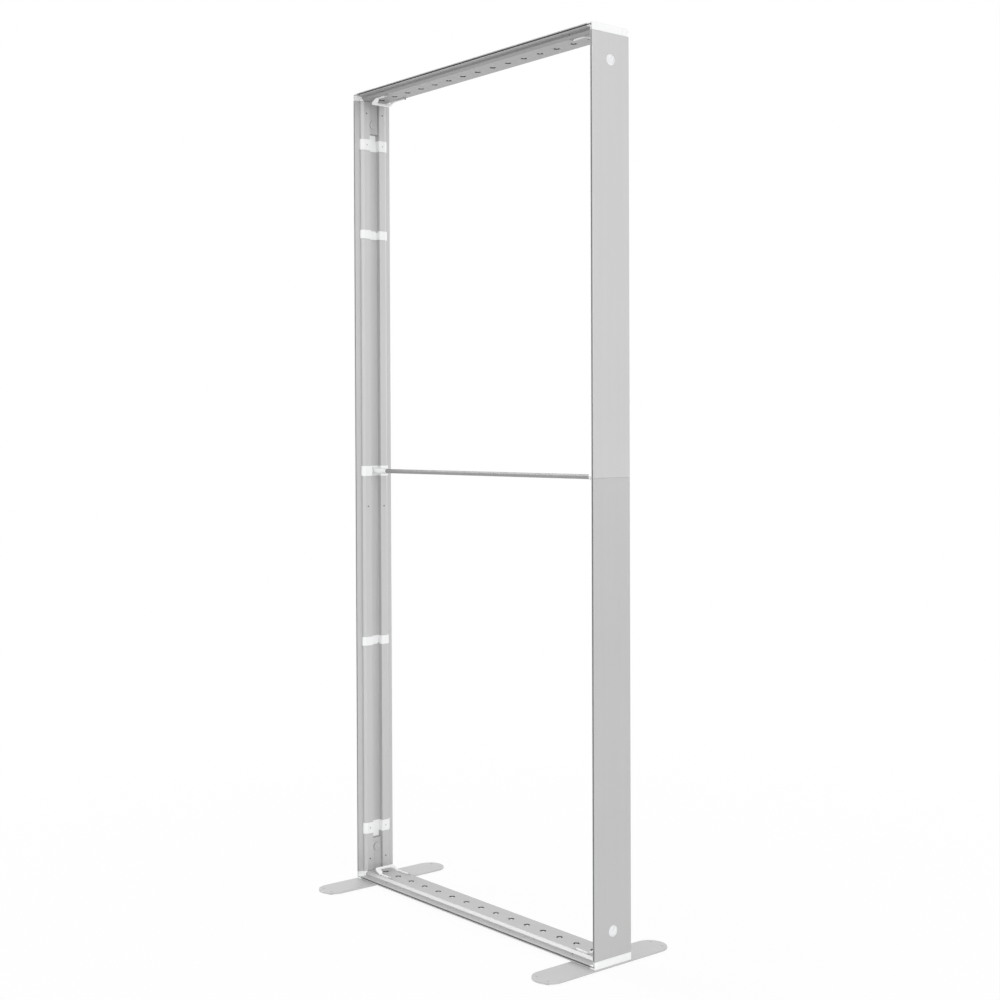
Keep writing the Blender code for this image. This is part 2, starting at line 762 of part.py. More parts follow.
def prong_outline():
    """An L in the plane of the frame: one arm up the post and one along the rail."""
    lead = CONNECTOR_LEAD_IN
    return [
        (PRONG_HIGH, PRONG_HIGH),
        (PRONG_HIGH, CONNECTOR_POST_REACH - lead),
        (PRONG_HIGH - lead, CONNECTOR_POST_REACH),
        (PRONG_LOW + lead, CONNECTOR_POST_REACH),
        (PRONG_LOW, CONNECTOR_POST_REACH - lead),
        (PRONG_LOW, PROFILE_HEIGHT + GAP),
        (CAP_WALL + GAP, PROFILE_HEIGHT + GAP),
        (CAP_WALL + GAP, CAP_WALL + GAP),
        (PROFILE_HEIGHT + GAP, CAP_WALL + GAP),
        (PROFILE_HEIGHT + GAP, PRONG_LOW),
        (CONNECTOR_RAIL_REACH - lead, PRONG_LOW),
        (CONNECTOR_RAIL_REACH, PRONG_LOW + lead),
        (CONNECTOR_RAIL_REACH, PRONG_HIGH - lead),
        (CONNECTOR_RAIL_REACH - lead, PRONG_HIGH),
    ]


def build_connectors(material):
    outline = prong_outline()
    spans = ((-PRONG_OUTER, -PRONG_INNER), (PRONG_INNER, PRONG_OUTER))
    prongs = [upright([outline], *span) for span in spans]
    low = CAP_WALL + GAP
    high = PROFILE_HEIGHT - GAP
    inner = PRONG_INNER + OVERLAP
    elbow = boxes(((low, -inner, low), (high, inner, high)))

    half = CHANNEL_LINE - GAP
    foot = CHANNEL_FLOOR + GAP
    chamfer = CHANNEL_CHAMFER
    leg_section = mirrored([(CONNECTOR_LEG_HEIGHT, half), (foot + chamfer, half), (foot, half - chamfer)])
    leg = extruded([leg_section], high - OVERLAP, CONNECTOR_LEG_REACH)

    lock = cylinders(
        (1, 0, 0),
        TURN_LOCK_SHAFT_DIAMETER / 2 + GAP,
        [((foot - OVERRUN, 0, TURN_LOCK_FROM_END), CONNECTOR_LEG_HEIGHT + OVERRUN)],
    )
    depth = FOOT_SCREW_REACH + GAP - PRONG_LOW
    spans = [((x, y, PRONG_LOW - OVERRUN), depth + OVERRUN) for x, y in foot_screw_places()]
    screws = cylinders((0, 0, 1), FOOT_SCREW_DIAMETER / 2 + GAP, spans, SMALL_HOLE_SEGMENTS)
    mesh = cut(joined(elbow, *prongs, leg), lock, screws)
    for corner, (location, turn) in CORNERS.items():
        place(f"{corner}_corner_connector", mesh, material, location, turn)


# Turn locks


def turn_lock_mesh():
    """The lock about its own axis, which is x: a dished head, a shaft and a cam with a slot."""
    face = GAP
    back = face + TURN_LOCK_HEAD_THICKNESS
    cam_low = CONNECTOR_LEG_HEIGHT + GAP
    cam_high = cam_low + TURN_LOCK_CAM_THICKNESS
    head = TURN_LOCK_HEAD_DIAMETER / 2
    shaft = TURN_LOCK_SHAFT_DIAMETER / 2
    end = cam_high - OVERLAP
    profile = [(0, end), (shaft, end), (shaft, back), (head, back), (head, face), (0, face)]
    body = turned(profile)
    cam_spot = (0, TURN_LOCK_CAM_OFFSET, cam_low)
    spans = [(cam_spot, TURN_LOCK_CAM_THICKNESS)]
    cam = cylinders((0, 0, 1), TURN_LOCK_CAM_DIAMETER / 2, spans, ROUND_SEGMENTS)

    half_length = TURN_LOCK_SLOT_LENGTH / 2
    half_width = TURN_LOCK_SLOT_WIDTH / 2
    slot_low = cam_high - TURN_LOCK_SLOT_DEPTH
    slot_high = cam_high + OVERRUN
    slot = boxes(((-half_length, -half_width, slot_low), (half_length, half_width, slot_high)))

    dish = TURN_LOCK_DISH_DIAMETER / 2
    span = [((0, 0, face - OVERRUN), OVERRUN + TURN_LOCK_DISH_DEPTH)]
    grip = TURN_LOCK_GRIP_WIDTH / 2
    depth = face + TURN_LOCK_DISH_DEPTH + OVERRUN
    bar = boxes(((-head, -grip, -OVERRUN - face), (head, grip, depth)))
    recess = cut(cylinders((0, 0, 1), dish, span, ROUND_SEGMENTS), bar)
    lock = cut(joined(body, cam), recess, slot)
    lock.transform(Matrix.Rotation(TURN_LOCK_ANGLE, 4, "Z"))
    return rotated(lock, 90, "Y")


def build_turn_locks(material):
    mesh = turn_lock_mesh()
    for corner, (_, turn) in CORNERS.items():
        location = corner_point(corner, (0, 0, TURN_LOCK_FROM_END))
        place(f"{corner}_turn_lock", mesh, material, location, turn)


# Lock bails


def bail_side(handle):
    """Half of the wishbone from above, on the +y side, for a handle of a given half width."""
    knee = -BAIL_ARM_LENGTH
    end = knee - BAIL_HANDLE_RUN
    bar = end + BAIL_HANDLE_BAR
    outer = (BAIL_ARM_SPREAD + BAIL_ARM_WIDTH) / 2
    inner = outer - BAIL_ARM_WIDTH
    window = BAIL_WINDOW_SPAN / 2
    corner = BAIL_HANDLE_CORNER
    inner_corner = BAIL_WINDOW_CORNER
    return [
        (end, handle - corner),
        (end + corner / 4, handle - corner / 4),
        (end + corner, handle),
        (knee - corner / 2, handle),
        (knee, outer),
        (0, outer),
        (0, inner),
        (knee, inner),
        (knee - inner_corner, window),
        (bar + inner_corner, window),
        (bar + inner_corner / 4, window - inner_corner / 4),
        (bar, window - inner_corner),
    ]


def bail_mesh(hand):
    """The wishbone about its pivot: flat arms on the rail, the handle bent up at the knees.

    The handle is wider on one side. With hand 1 that is the -y side, with hand -1 the other.
    """
    half = BAIL_THICKNESS / 2
    knee = -BAIL_ARM_LENGTH
    end = knee - BAIL_HANDLE_RUN
    side = ribbon([(0, 0), (knee, 0), (end, BAIL_HANDLE_RISE)], -half, half)
    reach = BAIL_HANDLE_WIDE_SIDE + BAIL_ARM_WIDTH
    strip = upright([side], -reach, reach)
    narrow = bail_side(BAIL_HANDLE_NARROW_SIDE)
    wide = [(x, -y) for x, y in reversed(bail_side(BAIL_HANDLE_WIDE_SIDE))]
    outline = [(x, hand * y) for x, y in narrow + wide]
    height = BAIL_HANDLE_RISE + BAIL_THICKNESS
    bail = combined(strip, "INTERSECT", extruded([outline], -height, height))
    arm = BAIL_ARM_SPREAD / 2
    width = BAIL_ARM_WIDTH
    eyes = []
    pins = []
    for sign in (-1, 1):
        near, far = sorted((sign * (arm - width / 2), sign * (arm + width / 2)))
        eyes.append(((0, near, 0), far - near))
        length = width / 2 + BAIL_PIN_LENGTH
        start = arm if sign > 0 else -arm - length
        pins.append(((0, start, 0), length))
    eye = cylinders((0, 1, 0), half, eyes)
    pin = cylinders((0, 1, 0), BAIL_PIN_DIAMETER / 2, pins, SMALL_HOLE_SEGMENTS)
    return joined(bail, eye, pin)


def build_bails(material):
    meshes = {"bottom": bail_mesh(1), "top": bail_mesh(-1)}
    distances = {"left": BAIL_LEFT_PIVOT_FROM_EDGE, "right": BAIL_RIGHT_PIVOT_FROM_EDGE}
    for corner, (_, turn) in CORNERS.items():
        level, side = corner.split("_")
        location = corner_point(corner, (distances[side], 0, BAIL_PIVOT_HEIGHT))
        place(f"{corner}_lock_bail", meshes[level], material, location, turn)


# Clips


def clip_strip(width):
    """A strip that follows the post from ledge to ledge, through the channel."""
    leg_end = (LIP_HEIGHT + GAP, WALL_LINE)
    path = mirrored([leg_end, *shoulder_outline()[1:], *channel_outline()])
    return extruded([ribbon(path, GAP, GAP + CLIP_THICKNESS)], -width / 2, width / 2)


def end_clip():
    """The clip near a post's end, with a tongue towards that end and two screw holes."""
    low = CHANNEL_FLOOR + GAP + (CLIP_THICKNESS - CLIP_TONGUE_THICKNESS) / 2
    high = low + CLIP_TONGUE_THICKNESS
    edge = -END_CLIP_WIDTH / 2
    half = CLIP_TONGUE_WIDTH / 2
    tongue = boxes(((low, -half, edge - CLIP_TONGUE_LENGTH), (high, half, edge + OVERRUN)))
    strip = joined(clip_strip(END_CLIP_WIDTH), tongue)
    start = PROFILE_HEIGHT - OVERRUN
    length = CLIP_THICKNESS + 2 * OVERRUN
    spans = [((start, sign * CLIP_SCREW_SPREAD / 2, 0), length) for sign in (-1, 1)]
    return cut(strip, cylinders((1, 0, 0), CLIP_SCREW_DIAMETER / 2, spans, SMALL_HOLE_SEGMENTS))


def notched_clip():
    """The clip between, with a small notch in its lower edge at each corner of the channel."""
    low = -MIDDLE_CLIP_WIDTH / 2
    outer = CHANNEL_LINE
    inner = CHANNEL_LINE - CLIP_NOTCH_WIDTH
    far = CLIP_FLOOR + CLIP_NOTCH_WIDTH
    top = low + CLIP_NOTCH_DEPTH
    notches = boxes(
        ((0, inner, low - OVERRUN), (far, outer, top)),
        ((0, -outer, low - OVERRUN), (far, -inner, top)),
    )
    return cut(clip_strip(MIDDLE_CLIP_WIDTH), notches)


def bar_clip():
    """The clip over the posts' seam, with a cup for the cross bar's sleeve."""
    bore = SLEEVE_DIAMETER / 2 + GAP
    low = CLIP_FLOOR - OVERLAP
    axis = (1, 0, 0)
    cup = cylinders(axis, bore + CUP_WALL, [((low, 0, 0), OVERLAP + CUP_HEIGHT)], ROUND_SEGMENTS)
    hollow = cylinders(axis, bore, [((CLIP_FLOOR, 0, 0), CUP_HEIGHT + OVERRUN)], ROUND_SEGMENTS)
    return cut(joined(clip_strip(BAR_CLIP_WIDTH), cup), hollow)


def build_clips(material):
    end = end_clip()
    notched = notched_clip()
    clips = (
        (rotated(end, 180, "X"), FRAME_HEIGHT - END_CLIP_FROM_END),
        (rotated(notched, 180, "X"), FRAME_HEIGHT - UPPER_CLIP_FROM_TOP),
        (bar_clip(), CROSSBAR_HEIGHT),
        (notched, LOWER_CLIP_HEIGHT),
        (end, END_CLIP_FROM_END),
    )
    for side, (location, turn) in SIDES.items():
        for number, (mesh, height) in enumerate(clips, 1):
            at = Vector(location) + Vector((0, 0, height))
            place(f"{side}_clip_{number}", mesh, material, at, turn)


# Cross bar


def build_crossbar(tube_material, sleeve_material, spring_material):
    height = FRAME_BASE + CROSSBAR_HEIGHT
    sleeve_end = HALF_WIDTH - CLIP_FLOOR - GAP
    wall_face = sleeve_end - SLEEVE_END_WALL
    spring_start = wall_face - GAP - SPRING_LENGTH
    tube_right = spring_start - GAP
    tube_left = wall_face - GAP

    outer = BAR_DIAMETER / 2
    inner = outer - BAR_WALL
    ends = [(inner, tube_right), (outer, tube_right), (outer, -tube_left), (inner, -tube_left)]
    tube = turned(ends + ends[:1])
    place("crossbar_tube", rotated(tube, 90, "Y"), tube_material, (0, 0, height))

    radius = SLEEVE_DIAMETER / 2
    bore = outer + GAP
    chamfer = SLEEVE_CHAMFER
    bore_depth = SLEEVE_LENGTH - SLEEVE_END_WALL
    profile = [
        (0, SLEEVE_LENGTH),
        (radius - chamfer, SLEEVE_LENGTH),
        (radius, SLEEVE_LENGTH - chamfer),
        (radius, chamfer),
        (radius - chamfer, 0),
        (bore, 0),
        (bore, bore_depth),
        (0, bore_depth),
    ]
    sleeve = rotated(turned(profile), 90, "Y")
    mouth = sleeve_end - SLEEVE_LENGTH
    place("right_crossbar_sleeve", sleeve, sleeve_material, (mouth, 0, height))
    place("left_crossbar_sleeve", sleeve, sleeve_material, (-mouth, 0, height), "Z")
    build_spring(spring_start, height, spring_material)


def build_spring(start, height, material):
    """An open coil between the tube's end and the sleeve's end wall."""
    wire = SPRING_WIRE_DIAMETER / 2
    radius = SPRING_MEAN_DIAMETER / 2
    steps = SPRING_TURNS * SPRING_POINTS_PER_TURN
    run = SPRING_LENGTH - SPRING_WIRE_DIAMETER
    curve = bpy.data.curves.new("crossbar_spring", "CURVE")
    curve.dimensions = "3D"
    curve.bevel_depth = wire
    curve.bevel_resolution = 1
    curve.use_fill_caps = True
    spline = curve.splines.new("POLY")
    spline.points.add(steps)
    for step, point in enumerate(spline.points):
        angle = 2 * math.pi * step / SPRING_POINTS_PER_TURN
        x = start + wire + run * step / steps
        point.co = (x, radius * math.cos(angle), radius * math.sin(angle), 1)
    print("least gap between spring turns, m:", run / SPRING_TURNS - SPRING_WIRE_DIAMETER)
    obj = bpy.data.objects.new("crossbar_spring", curve)
    curve.materials.append(material)
    obj.location = (0, 0, height)
    parts.objects.link(obj)


# Feet


def pad_places():
    """Pad positions on a foot plate, from the plate's middle."""
    y = FOOT_LENGTH / 2 - PAD_FROM_TIP
    return [(x * PAD_SPREAD / 2, sign * y) for sign in (-1, 1) for x in (-1, 1)]


def countersunk_profile(extra):
    """Outline of a foot screw, or with extra clearance of its hole, from the plate's underside."""
    head = FOOT_SCREW_HEAD_DIAMETER / 2 + extra
    shank = FOOT_SCREW_DIAMETER / 2 + extra
    return head, shank, FOOT_SCREW_HEAD_HEIGHT + extra


def build_feet(plate_material, pad_material, screw_material):
    tip = FOOT_WIDTH / 2
    straight = FOOT_LENGTH / 2 - tip
    outline = arc((0, straight), tip, 0, math.pi, FOOT_TIP_SEGMENTS)
    outline += arc((0, -straight), tip, math.pi, 2 * math.pi, FOOT_TIP_SEGMENTS)
    low = PAD_THICKNESS + GAP
    high = low + FOOT_THICKNESS
    plate = extruded([outline], low, high)
    head, shank, height = countersunk_profile(GAP)
    profile = [
        (0, high + OVERRUN),
        (shank, high + OVERRUN),
        (shank, low + height),
        (head, low),
        (head, low - OVERRUN),
        (0, low - OVERRUN),
    ]
    sink = turned(profile, HOLE_SEGMENTS)
    screw_spots = [sign * FOOT_SCREW_SPREAD / 2 for sign in (-1, 1)]
    plate = cut(plate, *[moved(sink, y=y) for y in screw_spots])
    spans = [((x, y, low - OVERRUN), FOOT_THICKNESS + 2 * OVERRUN) for x, y in pad_places()]
    stems = cylinders((0, 0, 1), PAD_STEM_DIAMETER / 2 + GAP, spans, SMALL_HOLE_SEGMENTS)
    plate = cut(plate, stems)

    pad = turned(pad_profile(high), SMALL_HOLE_SEGMENTS)
    screw = screw_mesh(low)
    for side, sign in (("left", -1), ("right", 1)):
        x = sign * (HALF_WIDTH - FOOT_WIDTH / 2)
        place(f"{side}_foot_plate", plate, plate_material, (x, 0, 0))
        for number, (dx, y) in enumerate(pad_places(), 1):
            place(f"{side}_foot_pad_{number}", pad, pad_material, (x + dx, y, 0))
        for face, y in zip(("front", "back"), screw_spots):
            place(f"{side}_foot_{face}_screw", screw, screw_material, (x, y, 0))


def pad_profile(plate_top):
    pad = PAD_DIAMETER / 2
    stem = PAD_STEM_DIAMETER / 2
    top = plate_top + PAD_STEM_PROUD
    return [
        (0, top),
        (stem - PAD_CHAMFER, top),
        (stem, top - PAD_CHAMFER),
        (stem, PAD_THICKNESS),
        (pad, PAD_THICKNESS),
        (pad, PAD_CHAMFER),
        (pad - PAD_CHAMFER, 0),
        (0, 0),
    ]


def screw_mesh(plate_low):
    head, shank, height = countersunk_profile(0)
    base = plate_low
    top = FRAME_BASE + FOOT_SCREW_REACH
    profile = [(0, top), (shank, top), (shank, base + height), (head, base), (0, base)]
    screw = turned(profile, HOLE_SEGMENTS)
    socket = cylinders(
        (0, 0, 1),
        FOOT_SCREW_SOCKET_DIAMETER / 2,
        [((0, 0, base - OVERRUN), OVERRUN + FOOT_SCREW_SOCKET_DEPTH)],
        FOOT_SCREW_SOCKET_SIDES,
    )
    return cut(screw, socket)


def main():
    clear_scene()
    made = make_materials()
    build_posts(made["aluminium"])
    build_splice_bars(made["aluminium"])
    build_rails(made["aluminium"])
    build_lights(made["board"], made["lens"])
    build_caps(made["white_plastic"])
    build_connectors(made["grey_plastic"])
    build_turn_locks(made["white_plastic"])
    build_bails(made["white_plastic"])
    build_clips(made["white_plastic"])
    build_crossbar(made["aluminium"], made["white_plastic"], made["steel"])
    build_feet(made["plate"], made["white_plastic"], made["steel"])


main()
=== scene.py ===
"""Looks of the lightbox display wall: finishes, rounded mouldings, screws, lenses and the stage.

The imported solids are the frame. Extrusions keep their own meshes and get anodised finishes.
Mouldings, plates and turned pieces are shown with rounded edges, and stand for their solids.
"""

import math

import bmesh
import bpy
from mathutils import Matrix, Vector


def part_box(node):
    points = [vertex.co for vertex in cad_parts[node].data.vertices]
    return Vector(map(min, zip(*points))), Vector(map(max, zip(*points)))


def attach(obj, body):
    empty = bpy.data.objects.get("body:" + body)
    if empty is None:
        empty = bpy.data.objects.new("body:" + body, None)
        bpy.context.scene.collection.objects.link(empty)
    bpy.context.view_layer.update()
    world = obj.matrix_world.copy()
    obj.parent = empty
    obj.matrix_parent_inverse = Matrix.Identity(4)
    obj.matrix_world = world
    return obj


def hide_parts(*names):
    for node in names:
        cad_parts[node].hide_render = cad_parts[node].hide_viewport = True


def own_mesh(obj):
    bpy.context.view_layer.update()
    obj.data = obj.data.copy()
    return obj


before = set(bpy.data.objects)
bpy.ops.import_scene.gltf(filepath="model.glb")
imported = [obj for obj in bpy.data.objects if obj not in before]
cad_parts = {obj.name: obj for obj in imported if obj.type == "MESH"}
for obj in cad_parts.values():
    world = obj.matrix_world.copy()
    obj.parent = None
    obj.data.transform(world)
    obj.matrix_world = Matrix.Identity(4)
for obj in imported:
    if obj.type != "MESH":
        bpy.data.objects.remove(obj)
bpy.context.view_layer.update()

# Camera of the photograph, in metres and degrees
CAMERA_PLACE = (3.14333, -2.53458, 1.28486)
CAMERA_YAW = 50.3945
CAMERA_PITCH = -0.7881
CAMERA_ROLL = -0.2188
CAMERA_LENS = 54.983
CAMERA_SENSOR = 36.0
CAMERA_SHIFT = -0.04541

# Corners and ends of the frame
CORNERS = ("bottom_left", "bottom_right", "top_left", "top_right")
SIDES = ("left", "right")
ROOT = "frame"

# Rounding of moulded edges, of the clips, of turned edges and of the foot plates
MOULDED_EDGE = 0.00035
CLIP_EDGE = 0.00025
TURNED_EDGE = 0.0003
PLATE_EDGE = 0.0006

# Distances under which doubles and the slivers of rounded corners are merged
MERGE = 0.000001
SLIVER = 0.000004

# Angles of edges that lie in a flat and of edges that are rounded, and steps of round shapes
FLAT_ANGLE = math.radians(0.5)
SHARP_ANGLE = math.radians(28)
EDGE_STEPS = 2
ROUND_STEPS = 64
SCREW_STEPS = 48
SMALL_STEPS = 32
DROP_STEPS = 16

# The frame's half width, the heights of its lower and upper face, and of the posts' seam
HALF_WIDTH = 0.5
FRAME_BOTTOM = 0.007
FRAME_TOP = 2.257
SEAM = FRAME_BOTTOM + 1.171

# How far the white head of a turn lock reaches
LOCK_HEAD = 0.003


# Shader nodes


def add(tree, kind, inputs=None, **settings):
    """A node with its settings, and its inputs as plain values or other nodes' outputs."""
    node = tree.nodes.new(kind)
    for name, value in settings.items():
        setattr(node, name, value)
    for name, value in (inputs or {}).items():
        socket = node.inputs[name]
        if isinstance(value, bpy.types.NodeSocket):
            tree.links.new(value, socket)
        else:
            socket.default_value = value
    return node


def math_node(tree, operation, *values, clamp=False):
    inputs = dict(enumerate(values))
    return add(tree, "ShaderNodeMath", inputs, operation=operation, use_clamp=clamp).outputs[0]


def noise(tree, vector, scale, detail=2.0, roughness=0.5):
    inputs = {"Vector": vector, "Scale": scale, "Detail": detail, "Roughness": roughness}
    return add(tree, "ShaderNodeTexNoise", inputs).outputs["Fac"]


def mapped(tree, vector, scale):
    return add(tree, "ShaderNodeMapping", {"Vector": vector, "Scale": scale}).outputs["Vector"]


def remap(tree, value, low, high, to_low, to_high):
    inputs = {"Value": value, 1: low, 2: high, 3: to_low, 4: to_high}
    return add(tree, "ShaderNodeMapRange", inputs).outputs["Result"]


def new_group(name, inputs, outputs):
    """An empty node group with its sockets, its input node and its output node."""
    tree = bpy.data.node_groups.new(name, "ShaderNodeTree")
    for label, kind, value in inputs:
        socket = tree.interface.new_socket(label, in_out="INPUT", socket_type=kind)
        if value is not None:
            socket.default_value = value
    for label, kind in outputs:
        tree.interface.new_socket(label, in_out="OUTPUT", socket_type=kind)
    return tree, tree.nodes.new("NodeGroupInput").outputs, tree.nodes.new("NodeGroupOutput").inputs


SKIN_OUTPUTS = [(name, "NodeSocketFloat") for name in ("Tone", "Gloss", "Height")]


def drawn_metal_group():
    """Die lines along an extrusion, blasted grain and slow changes of the anodised tone."""
    sockets = [
        ("Point", "NodeSocketVector", None),
        ("Drawn", "NodeSocketVector", None),
        ("Streaks", "NodeSocketFloat", 0.5),
    ]
    tree, given, result = new_group("drawn_metal", sockets, SKIN_OUTPUTS)
    wide = noise(tree, given["Drawn"], 70.0, 3.0, 0.6)
    fine = noise(tree, given["Drawn"], 900.0, 2.0, 0.7)
    cloud = noise(tree, given["Point"], 2.2, 2.0)
    grain = noise(tree, given["Point"], 2600.0, 2.0, 0.6)
    streak = math_node(tree, "MULTIPLY_ADD", fine, 0.35, math_node(tree, "MULTIPLY", wide, 0.65))
    shifted = math_node(tree, "SUBTRACT", streak, 0.5)
    streaked = math_node(tree, "MULTIPLY_ADD", shifted, given["Streaks"], cloud)
    centred = math_node(tree, "SUBTRACT", grain, 0.5)
    tone = math_node(tree, "MULTIPLY_ADD", centred, 0.3, streaked, clamp=True)
    tree.links.new(tone, result["Tone"])
    gloss = math_node(tree, "MULTIPLY_ADD", fine, 0.5, math_node(tree, "MULTIPLY", cloud, 0.5))
    tree.links.new(gloss, result["Gloss"])
    height = math_node(tree, "MULTIPLY_ADD", fine, 0.6, math_node(tree, "MULTIPLY", grain, 0.4))
    tree.links.new(height, result["Height"])
    return tree


def moulded_skin_group():
    """Spark-eroded texture, flow marks and faint handling marks of a moulded piece."""
    sockets = [("Point", "NodeSocketVector", None), ("Grain", "NodeSocketFloat", 1800.0)]
    tree, given, result = new_group("moulded_skin", sockets, SKIN_OUTPUTS)
    spark = add(
        tree,
        "ShaderNodeTexNoise",
        {"Vector": given["Point"], "Scale": given["Grain"], "Detail": 3.0},
    ).outputs["Fac"]
    flow = noise(tree, mapped(tree, given["Point"], (1.0, 0.4, 1.6)), 26.0, 4.0, 0.55)
    smudge = noise(tree, given["Point"], 95.0, 5.0, 0.6)
    tone = math_node(tree, "MULTIPLY_ADD", flow, 0.7, math_node(tree, "MULTIPLY", spark, 0.3))
    tree.links.new(tone, result["Tone"])
    tree.links.new(remap(tree, smudge, 0.35, 0.7, 0.0, 1.0), result["Gloss"])
    tree.links.new(spark, result["Height"])
    return tree


def edges_group():
    """Where edges are rubbed bright, where corners and hollows get painted shade from ambient
    occlusion, and the rounded edge's normal.
    """
    sockets = [("Radius", "NodeSocketFloat", 0.0006), ("Reach", "NodeSocketFloat", 0.006)]
    outputs = [
        ("Rubbed", "NodeSocketFloat"),
        ("Painted Shade", "NodeSocketFloat"),
        ("Normal", "NodeSocketVector"),
    ]
    tree, given, result = new_group("edges_and_corners", sockets, outputs)
    bevel = add(tree, "ShaderNodeBevel", {"Radius": given["Radius"]}, samples=6)
    rounded = bevel.outputs["Normal"]
    plain = add(tree, "ShaderNodeNewGeometry").outputs["Normal"]
    match = add(tree, "ShaderNodeVectorMath", {0: rounded, 1: plain}, operation="DOT_PRODUCT")
    rubbed = remap(tree, match.outputs["Value"], 0.995, 0.9, 0.0, 1.0)
    tree.links.new(rubbed, result["Rubbed"])
    # Ambient occlusion gives a mask of painted shade in corners and hollows, by which the finishes
    # darken their colour.
    hollow = add(tree, "ShaderNodeAmbientOcclusion", {"Distance": given["Reach"]}, samples=6)
    painted_shade = remap(tree, hollow.outputs["AO"], 0.75, 0.2, 0.0, 1.0)
    tree.links.new(painted_shade, result["Painted Shade"])
    tree.links.new(rounded, result["Normal"])
    return tree


DRAWN_METAL = drawn_metal_group()
MOULDED_SKIN = moulded_skin_group()
EDGES = edges_group()


def placed_group(tree, group, inputs):
    node = tree.nodes.new("ShaderNodeGroup")
    node.node_tree = group
    for name, value in inputs.items():
        if isinstance(value, bpy.types.NodeSocket):
            tree.links.new(value, node.inputs[name])
        else:
            node.inputs[name].default_value = value
    return node.outputs


def grey(level):
    return (level, level, level, 1.0)


def blend_colour(tree, factor, first, second):
    """The first colour where the factor is 0, and the second where it is 1."""
    node = add(tree, "ShaderNodeMix", data_type="RGBA", blend_type="MIX")
    factor_socket, first_socket, second_socket = (node.inputs[place] for place in (0, 6, 7))
    for socket, value in ((factor_socket, factor), (first_socket, first), (second_socket, second)):
        if isinstance(value, bpy.types.NodeSocket):
            tree.links.new(value, socket)
        else:
            socket.default_value = value
    return node.outputs[2]


def new_material(name):
    material = bpy.data.materials.new(name)
    material.use_nodes = True
    tree = material.node_tree
    return material, tree, tree.nodes["Principled BSDF"].inputs


def object_point(tree):
    return add(tree, "ShaderNodeTexCoord").outputs["Object"]


def dress(tree, shader, base, rough, relief=None, normal=None):
    """Links colour and roughness, and a relief of (strength, distance, height) on a normal."""
    tree.links.new(base, shader["Base Color"])
    tree.links.new(rough, shader["Roughness"])
    if relief:
        inputs = dict(zip(("Strength", "Distance", "Height"), relief))
        if normal:
            inputs["Normal"] = normal
        bump = add(tree, "ShaderNodeBump", inputs)
        tree.links.new(bump.outputs["Normal"], shader["Normal"])


def anodised(name, stretch, dark, light, streaks=0.5, roughness=(0.36, 0.48)):
    """Satin anodised aluminium, drawn along the axis that stretch makes long."""
    material, tree, shader = new_material(name)
    point = object_point(tree)
    drawn = mapped(tree, point, stretch)
    metal = placed_group(tree, DRAWN_METAL, {"Point": point, "Drawn": drawn, "Streaks": streaks})
    edges = placed_group(tree, EDGES, {"Radius": 0.0005, "Reach": 0.008})
    base = blend_colour(tree, metal["Tone"], grey(dark), grey(light))
    rubbed = math_node(tree, "MULTIPLY", edges["Rubbed"], 0.35)
    base = blend_colour(tree, rubbed, base, grey(min(1.0, light * 1.15)))
    # Painted shade: the colour darkens where the ambient occlusion finds corners and hollows.
    painted_shade_mix = math_node(tree, "MULTIPLY", edges["Painted Shade"], 0.12)
    base = blend_colour(tree, painted_shade_mix, base, grey(dark * 0.75))
    rough = remap(tree, metal["Gloss"], 0.2, 0.8, *roughness)
    dress(tree, shader, base, rough, (0.25, 0.00004, metal["Height"]), edges["Normal"])
    shader["Metallic"].default_value = 0.3
    return material


def moulded(name, dark, light, roughness=(0.34, 0.46), coat=0.15, grain=1800.0, painted_shade=0.12):
    """Injection moulded plastic: tinted flow, spark texture, and painted shade darkening its
    corners.
    """
    material, tree, shader = new_material(name)
    point = object_point(tree)
    skin = placed_group(tree, MOULDED_SKIN, {"Point": point, "Grain": grain})
    edges = placed_group(tree, EDGES, {"Radius": 0.0003, "Reach": 0.005})
    base = blend_colour(tree, skin["Tone"], (*dark, 1.0), (*light, 1.0))
    # Painted shade: the colour darkens in corners and hollows, as strongly as the argument asks.
    painted_shade_mix = math_node(tree, "MULTIPLY", edges["Painted Shade"], painted_shade)
    base = blend_colour(tree, painted_shade_mix, base, (*[level * 0.72 for level in dark], 1.0))
    rough = remap(tree, skin["Gloss"], 0.0, 1.0, *roughness)
    smooth = math_node(tree, "MULTIPLY", edges["Rubbed"], 0.12)
    rough = math_node(tree, "SUBTRACT", rough, smooth)
    dress(tree, shader, base, rough, (0.3, 0.00005, skin["Height"]), edges["Normal"])
    shader["Coat Weight"].default_value = coat
    shader["Coat Roughness"].default_value = 0.25
    return material


def powder_coated(name, dark, light):
    """Fine orange-peel powder coat with dust specks and rubbed edges."""
    material, tree, shader = new_material(name)
    point = object_point(tree)
    peel = noise(tree, point, 700.0, 2.0, 0.5)
    speck = noise(tree, point, 3200.0, 1.0)
    cloud = noise(tree, point, 12.0, 3.0)
    edges = placed_group(tree, EDGES, {"Radius": 0.0006, "Reach": 0.006})
    tone = math_node(tree, "MULTIPLY_ADD", speck, 0.5, math_node(tree, "MULTIPLY", cloud, 0.5))
    base = blend_colour(tree, tone, grey(dark), grey(light))
    rubbed = math_node(tree, "MULTIPLY", edges["Rubbed"], 0.3)
    base = blend_colour(tree, rubbed, base, grey(min(1.0, light * 1.2)))
    # Painted shade: the colour darkens where the ambient occlusion finds corners and hollows.
    painted_shade_mix = math_node(tree, "MULTIPLY", edges["Painted Shade"], 0.25)
    base = blend_colour(tree, painted_shade_mix, base, grey(dark * 0.8))
    rough = remap(tree, cloud, 0.3, 0.7, 0.38, 0.5)
    dress(tree, shader, base, rough, (0.3, 0.00006, peel), edges["Normal"])
    shader["Metallic"].default_value = 0.35
    return material


